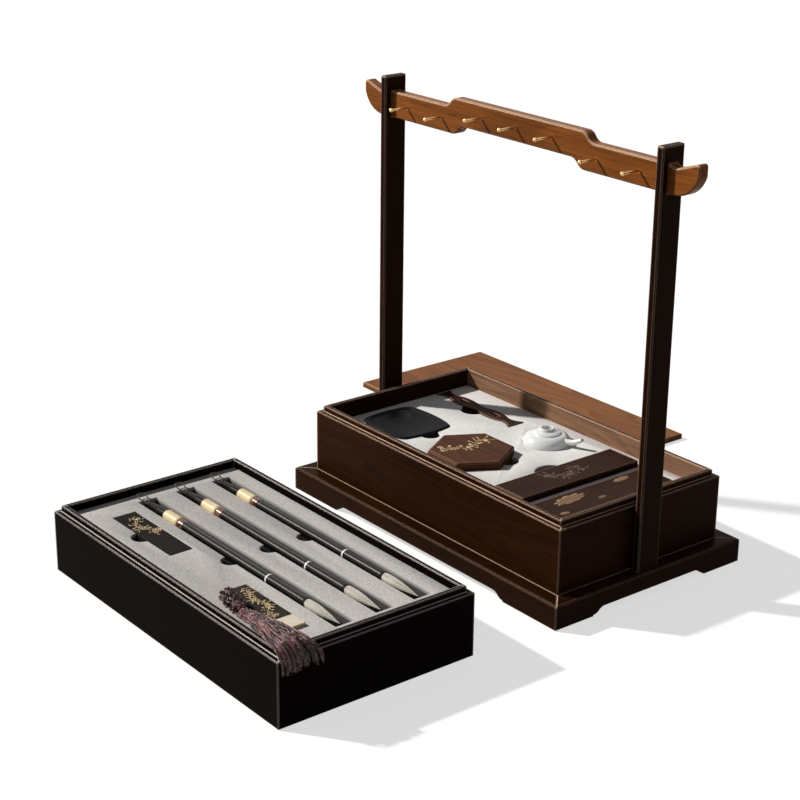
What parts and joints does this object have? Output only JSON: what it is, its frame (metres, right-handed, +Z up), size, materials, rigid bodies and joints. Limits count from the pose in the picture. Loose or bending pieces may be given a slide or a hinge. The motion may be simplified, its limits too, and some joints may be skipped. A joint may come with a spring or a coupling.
{
  "type": "calligraphy set box",
  "caption": "Wooden calligraphy desk set: brush-hanging rack on a footed plinth, a lower box and a lift-off tray of writing tools seated in foam, and a flat drop-in cover.",
  "frame": {"origin": "centre of the rack plinth's footprint, in the plane its feet stand on", "axes": "+Z up, +X along the crossbar, -Y towards the front where the pegs point"},
  "size_m": [0.617, 0.7081, 0.416],
  "materials": {
    "wood_dark": "satin",
    "wood_red": "satin",
    "wood_black": "satin",
    "wood_cover": "satin",
    "wood_rest": "satin",
    "wood_box": "satin",
    "wood_weight": "satin",
    "wood_cloud": "satin",
    "brass_pegs": "polished",
    "foam_white": "matte",
    "foam_grey": "matte",
    "slate": "matte",
    "porcelain": "gloss",
    "seal_paste": "matte",
    "ink": "matte",
    "lacquer_sleeve": "satin",
    "seal_stone": "polished",
    "silk_purple": "matte",
    "cord_black": "matte",
    "horn_black": "gloss",
    "horn_cream": "gloss",
    "horn_amber": "gloss",
    "horn_white": "gloss",
    "lacquer_black": "gloss",
    "goat_hair": "satin"
  },
  "bodies": {
    "stand": {"plinth_front_rail": "wood_dark", "plinth_back_rail": "wood_dark", "plinth_left_rail": "wood_dark", "plinth_right_rail": "wood_dark", "plinth_panel": "wood_dark", "left_post": "wood_dark", "right_post": "wood_dark", "crossbar": "wood_red", "hanger_pegs": "brass_pegs"},
    "lower_box": {"lower_front_board": "wood_dark", "lower_back_board": "wood_dark", "lower_left_board": "wood_dark", "lower_right_board": "wood_dark", "lower_bottom": "wood_dark", "lower_foam": "foam_white"},
    "inkstone": {"inkstone": "slate"},
    "brush_rest": {"brush_rest": "wood_rest"},
    "paste_box": {"paste_box": "wood_box", "paste_pad": "seal_paste"},
    "paste_lid": {"paste_lid": "wood_box"},
    "dropper": {"dropper": "porcelain"},
    "paperweight": {"paperweight": "wood_weight"},
    "cloud_paperweight": {"cloud_paperweight": "wood_cloud"},
    "upper_tray": {"upper_front_board": "wood_black", "upper_back_board": "wood_black", "upper_left_board": "wood_black", "upper_right_board": "wood_black", "upper_bottom": "wood_black", "upper_foam": "foam_grey"},
    "brush_a": {"brush_a_loop": "cord_black", "brush_a_cap": "horn_black", "brush_a_cream_ring": "horn_cream", "brush_a_amber_ring": "horn_amber", "brush_a_shaft": "lacquer_black", "brush_a_white_ring": "horn_white", "brush_a_ferrule": "horn_black", "brush_a_hair": "goat_hair"},
    "brush_b": {"brush_b_loop": "cord_black", "brush_b_cap": "horn_black", "brush_b_cream_ring": "horn_cream", "brush_b_amber_ring": "horn_amber", "brush_b_shaft": "lacquer_black", "brush_b_white_ring": "horn_white", "brush_b_ferrule": "horn_black", "brush_b_hair": "goat_hair"},
    "brush_c": {"brush_c_loop": "cord_black", "brush_c_cap": "horn_black", "brush_c_cream_ring": "horn_cream", "brush_c_amber_ring": "horn_amber", "brush_c_shaft": "lacquer_black", "brush_c_white_ring": "horn_white", "brush_c_ferrule": "horn_black", "brush_c_hair": "goat_hair"},
    "ink_stick": {"ink_stick": "ink"},
    "seal": {"seal_sleeve": "lacquer_sleeve", "seal_stone": "seal_stone", "tassel_knot": "silk_purple", "tassel_fringe": "silk_purple"},
    "cover": {"cover_board": "wood_cover"}
  },
  "joints": [
    {"name": "lower_box_lift", "type": "slide", "parent": "stand", "child": "lower_box", "axis": [0, 0, 1], "range_m": [0, 0.12]},
    {"name": "inkstone_lift", "type": "slide", "parent": "lower_box", "child": "inkstone", "axis": [0, 0, 1], "range_m": [0, 0.1]},
    {"name": "brush_rest_lift", "type": "slide", "parent": "lower_box", "child": "brush_rest", "axis": [0, 0, 1], "range_m": [0, 0.1]},
    {"name": "paste_box_lift", "type": "slide", "parent": "lower_box", "child": "paste_box", "axis": [0, 0, 1], "range_m": [0, 0.1]},
    {"name": "dropper_lift", "type": "slide", "parent": "lower_box", "child": "dropper", "axis": [0, 0, 1], "range_m": [0, 0.1]},
    {"name": "paperweight_lift", "type": "slide", "parent": "lower_box", "child": "paperweight", "axis": [0, 0, 1], "range_m": [0, 0.1]},
    {"name": "cloud_paperweight_lift", "type": "slide", "parent": "lower_box", "child": "cloud_paperweight", "axis": [0, 0, 1], "range_m": [0, 0.1]},
    {"name": "paste_lid_lift", "type": "slide", "parent": "paste_box", "child": "paste_lid", "axis": [0, 0, 1], "range_m": [0, 0.04]},
    {"name": "upper_tray_lift", "type": "slide", "parent": "stand", "child": "upper_tray", "axis": [0, 0, 1], "range_m": [0, 0.15]},
    {"name": "brush_a_lift", "type": "slide", "parent": "upper_tray", "child": "brush_a", "axis": [0, 0, 1], "range_m": [0, 0.1]},
    {"name": "brush_b_lift", "type": "slide", "parent": "upper_tray", "child": "brush_b", "axis": [0, 0, 1], "range_m": [0, 0.1]},
    {"name": "brush_c_lift", "type": "slide", "parent": "upper_tray", "child": "brush_c", "axis": [0, 0, 1], "range_m": [0, 0.1]},
    {"name": "ink_stick_lift", "type": "slide", "parent": "upper_tray", "child": "ink_stick", "axis": [0, 0, 1], "range_m": [0, 0.1]},
    {"name": "seal_lift", "type": "slide", "parent": "upper_tray", "child": "seal", "axis": [0, 0, 1], "range_m": [0, 0.1]},
    {"name": "cover_lift", "type": "slide", "parent": "stand", "child": "cover", "axis": [0, 0, 1], "range_m": [0, 0.15]}
  ]
}
